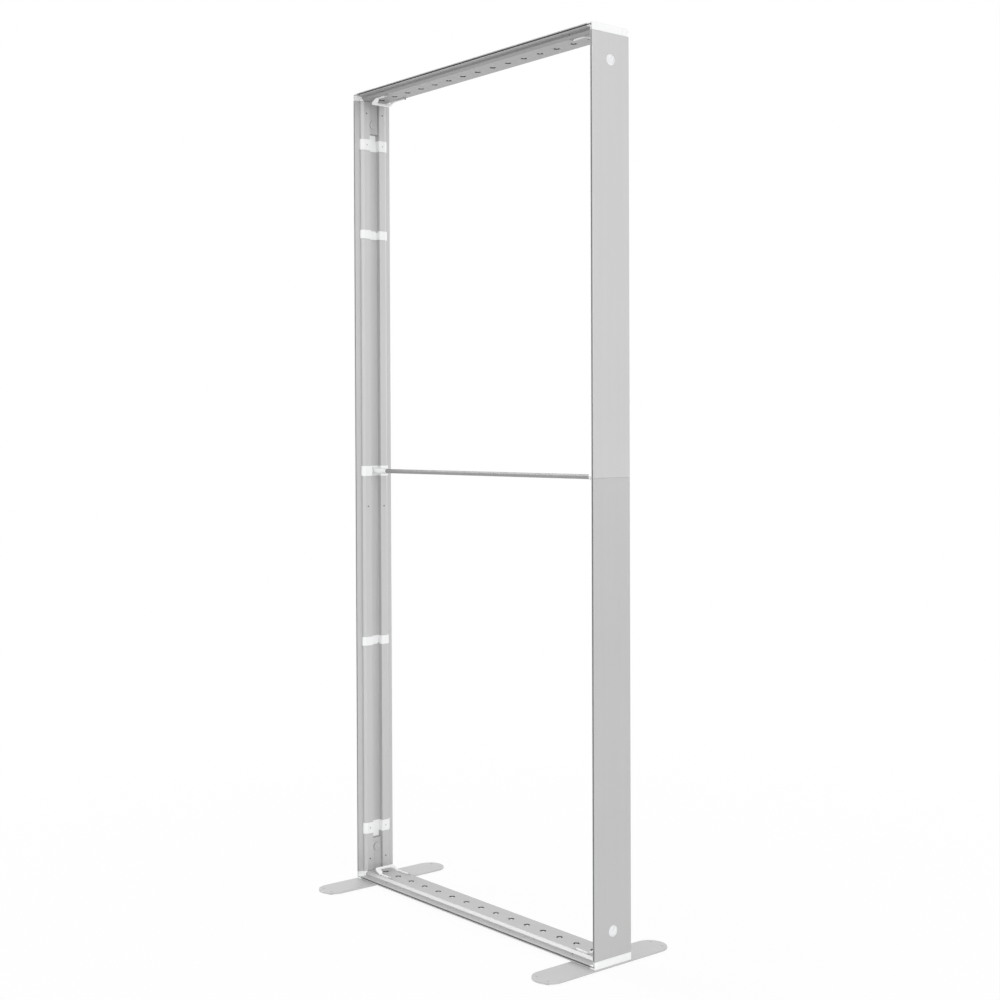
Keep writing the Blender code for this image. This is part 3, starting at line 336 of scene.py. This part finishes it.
def plated(name, dark, light, roughness=(0.22, 0.36)):
    """Zinc plated steel with a faint turned grain."""
    material, tree, shader = new_material(name)
    point = object_point(tree)
    grain = noise(tree, mapped(tree, point, (1.0, 1.0, 6.0)), 800.0, 3.0)
    stain = noise(tree, point, 160.0, 3.0)
    edges = placed_group(tree, EDGES, {"Radius": 0.0002, "Reach": 0.002})
    base = blend_colour(tree, stain, (*dark, 1.0), (*light, 1.0))
    # Painted shade: the colour goes nearly black in corners and in the sockets' hollows.
    painted_shade_mix = math_node(tree, "MULTIPLY", edges["Painted Shade"], 0.6)
    base = blend_colour(tree, painted_shade_mix, base, grey(0.12))
    rough = remap(tree, grain, 0.3, 0.7, *roughness)
    dress(tree, shader, base, rough, (0.2, 0.00003, grain), edges["Normal"])
    shader["Metallic"].default_value = 1.0
    return material


def clear_lens(name):
    """Clear moulded acrylic with a faint flow haze."""
    material, tree, shader = new_material(name)
    haze = noise(tree, object_point(tree), 220.0, 3.0)
    tint = blend_colour(tree, haze, (0.9, 0.91, 0.92, 1.0), (0.95, 0.955, 0.96, 1.0))
    rough = remap(tree, haze, 0.3, 0.7, 0.14, 0.24)
    dress(tree, shader, tint, rough)
    shader["Transmission Weight"].default_value = 0.12
    shader["IOR"].default_value = 1.49
    return material


def lacquered_board(name):
    """White solder lacquer with the print of copper tracks under it."""
    material, tree, shader = new_material(name)
    point = object_point(tree)
    gap = noise(tree, mapped(tree, point, (14.0, 160.0, 1.0)), 3.0, 2.0)
    track = remap(tree, gap, 0.48, 0.52, 0.0, 1.0)
    base = blend_colour(tree, track, (0.78, 0.8, 0.79, 1.0), (0.86, 0.87, 0.86, 1.0))
    weave = noise(tree, point, 1500.0, 2.0)
    rough = remap(tree, weave, 0.3, 0.7, 0.28, 0.4)
    dress(tree, shader, base, rough, (0.4, 0.00004, track))
    return material


# How much shorter a drawn pattern is along an extrusion, and how strong its streaks are
ALONG_POST = (1.0, 1.0, 0.012)
ALONG_RAIL = (0.012, 1.0, 1.0)
POST_STREAKS = 1.1
RAIL_STREAKS = 1.3

# Darkest and lightest tone of each extrusion. The tones differ from piece to piece as painted
# light and shade: the lower right post and the top rail, whose underside is in view, are painted
# darker.
POST_LIT_TONES = {
    "left_upper_post": (0.55, 0.59),
    "left_lower_post": (0.55, 0.59),
    "right_upper_post": (0.54, 0.58),
    "right_lower_post": (0.49, 0.53),
}
RAIL_LIT_TONES = {"bottom_rail": (0.49, 0.53), "top_rail": (0.38, 0.42)}
BAR_METAL = anodised("splice_anodised", ALONG_POST, 0.44, 0.48)
TUBE_METAL = anodised("tube_anodised", ALONG_RAIL, 0.28, 0.36, 0.8, (0.28, 0.4))
WHITE_MOULDING = moulded("white_moulding", (0.9, 0.905, 0.91), (0.94, 0.945, 0.95), coat=0.6)
# The lock heads get strong painted shade, which darkens the dish and the grip bar's recesses.
LOCK_WHITE = moulded("lock_moulding", (0.8, 0.81, 0.82), (0.88, 0.885, 0.89), painted_shade=0.7)
GREY_MOULDING = moulded(
    "grey_moulding", (0.5, 0.5, 0.5), (0.58, 0.58, 0.58), (0.5, 0.62), 0.0, 1200.0
)
PAD_GREY = moulded("pad_moulding", (0.5, 0.5, 0.5), (0.56, 0.56, 0.56), (0.55, 0.7), 0.0, 900.0)
FOOT_COAT = powder_coated("foot_powder_coat", 0.51, 0.56)
STEEL = plated("zinc_plated", (0.56, 0.57, 0.59), (0.7, 0.71, 0.72))
BLACK_STEEL = plated("blackened_steel", (0.02, 0.02, 0.021), (0.045, 0.045, 0.047), (0.4, 0.55))
LENS_CLEAR = clear_lens("clear_lens")
BOARD_WHITE = lacquered_board("white_board")
CHIP_BODY = moulded("chip_body", (0.8, 0.8, 0.78), (0.86, 0.86, 0.84), (0.4, 0.5), 0.0, 3000.0)
CHIP_GLOW = moulded(
    "chip_phosphor", (0.72, 0.58, 0.16), (0.8, 0.66, 0.22), (0.3, 0.4), 0.3, 3000.0
)


# Meshes


def merged_copy(node):
    """A bmesh of a CAD node with its loose triangles welded and its flats made whole."""
    bm = bmesh.new()
    bm.from_mesh(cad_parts[node].data)
    bmesh.ops.remove_doubles(bm, verts=bm.verts, dist=MERGE)
    bmesh.ops.dissolve_limit(bm, angle_limit=FLAT_ANGLE, verts=bm.verts, edges=bm.edges)
    bmesh.ops.recalc_face_normals(bm, faces=bm.faces)
    return bm


def soften(bm, width, steps=EDGE_STEPS):
    """Rounds every sharp edge of a closed bmesh."""
    whole = [edge for edge in bm.edges if edge.is_manifold]
    sharp = [edge for edge in whole if edge.calc_face_angle() > SHARP_ANGLE]
    bmesh.ops.bevel(
        bm,
        geom=sharp,
        offset=width,
        offset_type="OFFSET",
        segments=steps,
        profile=0.5,
        affect="EDGES",
        clamp_overlap=True,
        material=-1,
    )
    bmesh.ops.remove_doubles(bm, verts=bm.verts, dist=SLIVER)
    bmesh.ops.dissolve_degenerate(bm, dist=SLIVER, edges=bm.edges)
    return bm


def spun(profile, steps=ROUND_STEPS):
    """A solid turned about z from its outline of (radius, height) points."""
    bm = bmesh.new()
    points = [bm.verts.new((radius, 0, height)) for radius, height in profile]
    lines = [bm.edges.new(pair) for pair in zip(points, points[1:])]
    bmesh.ops.spin(
        bm,
        geom=points + lines,
        cent=(0, 0, 0),
        axis=(0, 0, 1),
        angle=2 * math.pi,
        steps=steps,
        use_merge=True,
    )
    bmesh.ops.remove_doubles(bm, verts=bm.verts, dist=MERGE)
    bmesh.ops.recalc_face_normals(bm, faces=bm.faces)
    return bm


def hexed(bm, radius, low, high):
    """Turns the round recess of a radius between two heights into a six-sided socket."""
    third = math.pi / 3
    for vert in bm.verts:
        in_height = low - MERGE <= vert.co.z <= high + MERGE
        if in_height and abs(vert.co.to_2d().length - radius) < MERGE:
            angle = math.atan2(vert.co.y, vert.co.x)
            turn = (angle % third) - third / 2
            reach = math.cos(third / 2) / math.cos(turn)
            vert.co.x *= reach
            vert.co.y *= reach
    return bm


def moved(bm, matrix):
    bmesh.ops.transform(bm, matrix=matrix, verts=bm.verts)
    return bm


def placed(bm, matrix, into):
    """Adds a transformed copy of one bmesh to another."""
    mesh = bpy.data.meshes.new("copy")
    bm.to_mesh(mesh)
    mesh.transform(matrix)
    into.from_mesh(mesh)
    bpy.data.meshes.remove(mesh)


def piece(name, bm, material, body=ROOT, nodes=()):
    """A finished piece: shaded smooth with weighted normals, riding on its body."""
    mesh = bpy.data.meshes.new(name)
    bm.to_mesh(mesh)
    bm.free()
    mesh.shade_smooth()
    mesh.materials.append(material)
    obj = bpy.data.objects.new(name, mesh)
    bpy.context.scene.collection.objects.link(obj)
    normals = obj.modifiers.new("weighted_normals", "WEIGHTED_NORMAL")
    normals.mode = "FACE_AREA"
    normals.weight = 80
    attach(obj, body)
    if nodes:
        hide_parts(*nodes)
    return obj


def box_of(node):
    low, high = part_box(node)
    return Vector(low), Vector(high)


def finish(nodes, material):
    """Gives CAD nodes that stay in view their finish."""
    for node in nodes:
        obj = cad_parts[node]
        obj.data.materials.clear()
        obj.data.materials.append(material)


# Pieces that stand for their solids


def soften_mouldings():
    """Corner caps, clips, and the bails, which ride on bodies of their own names."""
    caps = [f"{corner}_corner_cap" for corner in CORNERS]
    bails = [f"{corner}_lock_bail" for corner in CORNERS]
    clips = [f"{side}_clip_{number}" for side in SIDES for number in range(1, 6)]
    for node in caps + bails + clips:
        bm = soften(merged_copy(node), CLIP_EDGE if node in clips else MOULDED_EDGE)
        body = node if node in bails else ROOT
        piece(f"{node}_shell", bm, WHITE_MOULDING, body, (node,))


def soften_connectors():
    for corner in CORNERS:
        node = f"{corner}_corner_connector"
        bm = soften(merged_copy(node), MOULDED_EDGE)
        piece(f"{node}_shell", bm, GREY_MOULDING, ROOT, (node,))


def soften_feet():
    for side in SIDES:
        node = f"{side}_foot_plate"
        bm = soften(merged_copy(node), PLATE_EDGE, 3)
        piece(f"{node}_coated", bm, FOOT_COAT, ROOT, (node,))


def make_sleeves():
    """The cross bar's sleeves, with a shallow ring turned near each end."""
    bodies = {"left": ROOT, "right": "right_crossbar_sleeve"}
    bore = 0.0063
    wall = 0.002
    far_ring = 0.0118
    near_ring = 0.0042
    ring = ((0, 0), (0.00015, 0.0003), (0.00015, 0.0009), (0, 0.0012))
    for side in SIDES:
        node = f"{side}_crossbar_sleeve"
        low, high = box_of(node)
        radius = (high.z - low.z) / 2
        length = high.x - low.x
        profile = [
            (0, length),
            (radius, length),
            *[(radius - depth, length - far_ring - down) for depth, down in ring],
            *[(radius - depth, near_ring - down) for depth, down in ring],
            (radius, 0),
            (bore, 0),
            (bore, length - wall),
            (0, length - wall),
        ]
        bm = soften(spun(profile), TURNED_EDGE)
        middle = Vector((low.x, 0, (low.z + high.z) / 2))
        turn = Matrix.Rotation(math.radians(90), 4, "Y")
        if side == "left":
            middle.x = high.x
            turn = Matrix.Rotation(math.radians(-90), 4, "Y")
        moved(bm, Matrix.Translation(middle) @ turn)
        piece(f"{node}_shell", bm, WHITE_MOULDING, bodies[side], (node,))


def make_pads():
    """Foot pads with a shallow cup below, and stems that show on the plates."""
    thickness = 0.002
    relief = 0.0004
    crown = 0.0003
    stem = 0.003
    for side in SIDES:
        for number in range(1, 5):
            node = f"{side}_foot_pad_{number}"
            low, high = box_of(node)
            pad = (high.x - low.x) / 2
            top = high.z
            profile = [
                (0, top - crown),
                (stem * 0.35, top),
                (stem, top),
                (stem, thickness),
                (pad, thickness),
                (pad, relief),
                (pad - relief, 0),
                (pad * 0.6, 0),
                (pad * 0.55, relief),
                (0, relief),
            ]
            bm = soften(spun(profile, SMALL_STEPS), TURNED_EDGE)
            middle = Vector(((low.x + high.x) / 2, (low.y + high.y) / 2, 0))
            moved(bm, Matrix.Translation(middle))
            piece(f"{node}_moulding", bm, PAD_GREY, ROOT, (node,))


def make_foot_screws():
    """Countersunk screws with a six-sided socket, heads down in the foot plates."""
    head = 0.00575
    head_height = 0.0028
    rim = 0.0002
    shank = 0.003
    point = 0.0008
    socket = 0.0023
    socket_depth = 0.0018
    for side in SIDES:
        for face in ("front", "back"):
            node = f"{side}_foot_{face}_screw"
            low, high = box_of(node)
            base = low.z
            profile = [
                (0, high.z),
                (shank * 0.8, high.z),
                (shank, high.z - point),
                (shank, base + head_height),
                (head, base + rim),
                (head, base),
                (socket, base),
                (socket, base + socket_depth),
                (0, base + socket_depth),
            ]
            bm = hexed(spun(profile, SCREW_STEPS), socket, base, base + socket_depth)
            moved(bm, Matrix.Translation(((low.x + high.x) / 2, (low.y + high.y) / 2, 0)))
            piece(f"{node}_turned", soften(bm, 0.0001, 1), STEEL, ROOT, (node,))


def make_spring():
    """The coil as a round wire."""
    low, high = box_of("crossbar_spring")
    wire = 0.0006
    radius = (high.z - low.z) / 2 - wire
    turns = 7
    per_turn = 24
    start = low.x + wire
    run = high.x - low.x - 2 * wire
    bm = bmesh.new()
    ring = bmesh.ops.create_circle(bm, cap_ends=True, segments=12, radius=wire)
    turn = Matrix.Rotation(math.radians(90), 4, "X")
    place = Matrix.Translation((radius, 0, 0)) @ turn
    bmesh.ops.transform(bm, matrix=place, verts=ring["verts"])
    bmesh.ops.spin(
        bm,
        geom=bm.faces[:] + bm.edges[:] + bm.verts[:],
        cent=(0, 0, 0),
        axis=(0, 0, 1),
        dvec=(0, 0, run / (turns * per_turn)),
        angle=2 * math.pi * turns,
        steps=turns * per_turn,
    )
    bmesh.ops.recalc_face_normals(bm, faces=bm.faces)
    upright = Matrix.Rotation(math.radians(90), 4, "Y")
    moved(bm, Matrix.Translation((start, 0, (low.z + high.z) / 2)) @ upright)
    coil = piece("crossbar_spring_coil", bm, STEEL, ROOT, ("crossbar_spring",))
    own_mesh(coil)


def make_turn_locks():
    """Quarter turn locks: a white dished head with a grip bar, on a grey shaft with its cam."""
    for corner in CORNERS:
        node = f"{corner}_turn_lock"
        low, high = box_of(node)
        neck = low.x + LOCK_HEAD if low.x < 0 else high.x - LOCK_HEAD
        bm = soften(merged_copy(node), TURNED_EDGE)
        for face in bm.faces:
            if abs(face.calc_center_median().x) < abs(neck):
                face.material_index = 1
        shell = piece(f"{node}_shell", bm, LOCK_WHITE, node, (node,))
        shell.data.materials.append(GREY_MOULDING)


LIGHT_COUNT = 15
LIGHT_PITCH = 0.0625
LIGHT_SHIFT = -0.006
LIGHT_MIDDLE = (LIGHT_COUNT - 1) / 2
LIGHT_PLACES = [(at - LIGHT_MIDDLE) * LIGHT_PITCH + LIGHT_SHIFT for at in range(LIGHT_COUNT)]

# Heights over the rail's outer face, plate, socket and pocket of the lenses
CHIP_SEAT = 0.0036
LENS_SEAT = 0.0039
LENS_PLATE = 0.0012
LENS_SOCKET = 0.0067
CHIP_POCKET = 0.0026


def level_places():
    """For each rail, its outer face's height and the direction inwards."""
    return (("bottom", FRAME_BOTTOM, 1), ("top", FRAME_TOP, -1))


def lens_dome():
    """One lens: a rounded dome with a dimple in its top, over a hollow for the chip."""
    profile = [
        (0, 0.0111),
        (0.0014, 0.0114),
        (0.0030, 0.0120),
        (0.0041, 0.0119),
        (0.0057, 0.0108),
        (0.0068, 0.0091),
        (0.0075, 0.0065),
        (0.0078, 0.0034),
        (0.0079, -0.0002),
        (LENS_SOCKET, -0.0002),
        (LENS_SOCKET, -LENS_PLATE),
        (CHIP_POCKET, -LENS_PLATE),
        (CHIP_POCKET, 0.0002),
        (CHIP_POCKET * 0.6, 0.001),
        (0, 0.0012),
    ]
    return spun(profile, SMALL_STEPS)


def lens_plate(low, high):
    """The strip's flat plate with a socket for each dome."""
    bm = bmesh.new()
    corners = [(low.x, low.y), (high.x, low.y), (high.x, high.y), (low.x, high.y)]
    rim = [bm.verts.new((x, y, LENS_SEAT)) for x, y in corners]
    for first, second in zip(rim, rim[1:] + rim[:1]):
        bm.edges.new((first, second))
    for x in LIGHT_PLACES:
        place = Matrix.Translation((x, 0, LENS_SEAT))
        bmesh.ops.create_circle(bm, segments=SMALL_STEPS, radius=LENS_SOCKET, matrix=place)
    bmesh.ops.triangle_fill(bm, use_beauty=True, use_dissolve=False, edges=bm.edges[:])
    raised = bmesh.ops.extrude_face_region(bm, geom=bm.faces[:])["geom"]
    bmesh.ops.translate(
        bm,
        vec=(0, 0, LENS_PLATE),
        verts=[vert for vert in raised if isinstance(vert, bmesh.types.BMVert)],
    )
    bmesh.ops.recalc_face_normals(bm, faces=bm.faces)
    return bm


def chip_package():
    """One light chip: a small bevelled package with a round cup sunk in its top."""
    bm = bmesh.new()
    size = Matrix.Diagonal((0.003, 0.0028, 0.0007, 1))
    lift = Matrix.Translation((0, 0, CHIP_SEAT + 0.00035))
    bmesh.ops.create_cube(bm, size=1, matrix=lift @ size)
    soften(bm, 0.00015, 1)
    top = max(bm.faces, key=lambda face: face.calc_center_median().z)
    bmesh.ops.inset_region(bm, faces=[top], thickness=0.00025)
    bmesh.ops.inset_region(bm, faces=[top], thickness=0.00012, depth=-0.0003)
    return bm


def chip_glow():
    """The domed drop of phosphor in the chip's cup."""
    crown = CHIP_SEAT + 0.0007
    profile = [
        (0, crown + 0.00008),
        (0.0006, crown + 0.00004),
        (0.00098, crown - 0.0001),
        (0.00098, crown - 0.00035),
        (0, crown - 0.00035),
    ]
    return spun(profile, 16)


def make_lights():
    """Lens strips with their domes, and the chips on the boards."""
    for level, base, inward in level_places():
        node = f"{level}_led_lens_strip"
        low, high = box_of(node)
        flip = Matrix.Translation((0, 0, base))
        if inward < 0:
            flip = flip @ Matrix.Rotation(math.pi, 4, "X")
        rows = (
            ("lens_row", lens_plate(low, high), lens_dome(), LENS_SEAT + LENS_PLATE, LENS_CLEAR),
            ("chip_row", bmesh.new(), chip_package(), 0, CHIP_BODY),
            ("glow_row", bmesh.new(), chip_glow(), 0, CHIP_GLOW),
        )
        for name, bm, part, height, material in rows:
            for x in LIGHT_PLACES:
                placed(part, Matrix.Translation((x, 0, height)), bm)
            part.free()
            moved(bm, flip)
            nodes = (node,) if name == "lens_row" else ()
            piece(f"{level}_{name}", bm, material, ROOT, nodes)


def small_screw(radius, rim, chamfer, proud, socket, depth):
    """A short screw with a six-sided socket: its face stands proud of height 0."""
    length = 0.004
    profile = [
        (0, -length),
        (radius, -length),
        (radius, rim),
        (radius - chamfer, proud),
        (socket, proud),
        (socket, -depth),
        (0, -depth),
    ]
    return hexed(spun(profile, SCREW_STEPS), socket, -depth, proud)


def place_screws(name, screw, from_edge, spread, height, material):
    """Four screws of one height: in both posts, in front and behind, heads inwards."""
    bm = bmesh.new()
    for x, turn in ((-HALF_WIDTH + from_edge, 90), (HALF_WIDTH - from_edge, -90)):
        for y in (-spread, spread):
            rotation = Matrix.Rotation(math.radians(turn), 4, "Y")
            placed(screw, Matrix.Translation((x, y, height)) @ rotation, bm)
    piece(name, bm, material)


def make_post_screws():
    """Sunk set screws in the posts' flats, near the corners and under the seam."""
    flat = 0.0186
    spread = 0.0275
    from_corner = 0.053
    under_seam = 0.101
    screw = small_screw(0.0026, -0.0003, 0.0003, 0.00006, 0.0013, 0.0014)
    heights = {level: base + inward * from_corner for level, base, inward in level_places()}
    heights["splice"] = SEAM - under_seam
    for name, height in heights.items():
        place_screws(f"{name}_post_set_screws", screw, flat, spread, height, BLACK_STEEL)
    screw.free()


def make_clip_screws():
    """Low round heads in the wings of the end clips."""
    wing = 0.0206
    spread = 0.027
    from_corner = 0.1425
    screw = small_screw(0.0021, 0.0001, 0.0004, 0.0004, 0.001, 0.0008)
    for level, base, inward in level_places():
        height = base + inward * from_corner
        place_screws(f"{level}_clip_screws", screw, wing, spread, height, STEEL)
    screw.free()


# The stage


def seen_rays(tree):
    """One for the camera's rays and those that a piece mirrors or lets through, else zero."""
    rays = add(tree, "ShaderNodeLightPath").outputs
    seen = math_node(tree, "MAXIMUM", rays["Is Camera Ray"], rays["Is Glossy Ray"])
    return math_node(tree, "MAXIMUM", seen, rays["Is Transmission Ray"])


def white(tree, kind, strength):
    """A plain white emission or background."""
    return add(tree, kind, {"Color": grey(1.0), "Strength": strength}).outputs[0]


def make_floor():
    """A pale round floor that fades into the white background."""
    bm = bmesh.new()
    bmesh.ops.create_circle(bm, cap_ends=True, segments=96, radius=9.0)
    mesh = bpy.data.meshes.new("floor")
    bm.to_mesh(mesh)
    bm.free()
    material = bpy.data.materials.new("pale_floor")
    material.use_nodes = True
    tree = material.node_tree
    shader = tree.nodes["Principled BSDF"]
    shader.inputs["Base Color"].default_value = grey(0.85)
    shader.inputs["Roughness"].default_value = 0.9
    shader.inputs["Specular IOR Level"].default_value = 0.0
    away = add(tree, "ShaderNodeVectorMath", {0: object_point(tree)}, operation="LENGTH")
    share = remap(tree, away.outputs["Value"], 0.8, 2.6, 0.93, 1.0)
    factor = math_node(tree, "MULTIPLY", seen_rays(tree), share)
    bright = white(tree, "ShaderNodeEmission", 1.0)
    mixed = add(tree, "ShaderNodeMixShader", {0: factor, 1: shader.outputs[0], 2: bright})
    tree.links.new(mixed.outputs[0], tree.nodes["Material Output"].inputs["Surface"])
    mesh.materials.append(material)
    floor = bpy.data.objects.new("floor", mesh)
    bpy.context.scene.collection.objects.link(floor)


def make_world():
    """Soft white light from all round, seen as pure white behind and in the object."""
    world = bpy.data.worlds.new("white_studio")
    world.use_nodes = True
    bpy.context.scene.world = world
    tree = world.node_tree
    tree.nodes.clear()
    soft = white(tree, "ShaderNodeBackground", 0.45)
    bright = white(tree, "ShaderNodeBackground", 1.0)
    mixed = add(tree, "ShaderNodeMixShader", {0: seen_rays(tree), 1: soft, 2: bright})
    output = add(tree, "ShaderNodeOutputWorld")
    tree.links.new(mixed.outputs[0], output.inputs["Surface"])


LAMP_DISTANCE = 6


def make_lamp(name, side, level, spread):
    """A far soft light from one side; a level of 1 shows a facing colour as it is written."""
    light = bpy.data.lights.new(name, "SUN")
    light.energy = math.pi * level
    light.angle = math.radians(spread)
    lamp = bpy.data.objects.new(name, light)
    bpy.context.scene.collection.objects.link(lamp)
    lamp.location = Vector(side).normalized() * LAMP_DISTANCE
    lamp.rotation_euler = Vector(side).to_track_quat("Z", "Y").to_euler()


def make_lamps():
    make_lamp("left_light", (-0.74, -0.14, 0.65), 0.33, 40)
    make_lamp("right_light", (0.93, -0.10, 0.25), 0.38, 50)
    make_lamp("front_light", (0.0, -0.70, 0.70), 0.30, 60)
    make_lamp("back_light", (0.0, 0.95, 0.30), 0.20, 60)


def make_camera():
    """The photograph's view, from its fitted place and angles."""
    yaw = math.radians(CAMERA_YAW)
    pitch = math.radians(CAMERA_PITCH)
    roll = math.radians(CAMERA_ROLL)
    level = Vector((math.cos(yaw), math.sin(yaw), 0))
    flat_ahead = Vector((-math.sin(yaw), math.cos(yaw), 0))
    ahead = flat_ahead * math.cos(pitch) + Vector((0, 0, math.sin(pitch)))
    upward = level.cross(ahead)
    right = level * math.cos(roll) + upward * math.sin(roll)
    up = upward * math.cos(roll) - level * math.sin(roll)
    lens = bpy.data.cameras.new("photo_view")
    lens.lens = CAMERA_LENS
    lens.sensor_width = CAMERA_SENSOR
    lens.shift_y = CAMERA_SHIFT
    camera = bpy.data.objects.new("photo_view", lens)
    bpy.context.scene.collection.objects.link(camera)
    turn = Matrix((right, up, -ahead)).transposed().to_4x4()
    camera.matrix_world = Matrix.Translation(CAMERA_PLACE) @ turn
    bpy.context.scene.camera = camera


def main():
    make_camera()
    make_world()
    make_lamps()
    make_floor()

    # Each extrusion gets its own copy of the finish, toned for the painted light and shade it
    # stands in.
    for post, tones in POST_LIT_TONES.items():
        finish((post,), anodised(f"{post}_anodised", ALONG_POST, *tones, POST_STREAKS))
    for rail, tones in RAIL_LIT_TONES.items():
        finish((rail,), anodised(f"{rail}_anodised", ALONG_RAIL, *tones, RAIL_STREAKS))
    bars = [f"{side}_{face}_splice_bar" for side in SIDES for face in ("front", "back")]
    finish(bars, BAR_METAL)
    finish(("crossbar_tube",), TUBE_METAL)
    finish(("top_led_board", "bottom_led_board"), BOARD_WHITE)

    soften_mouldings()
    soften_connectors()
    soften_feet()
    make_turn_locks()
    make_sleeves()
    make_pads()
    make_foot_screws()
    make_spring()
    make_lights()
    make_post_screws()
    make_clip_screws()


main()

bpy.context.scene.view_settings.view_transform = "Standard"
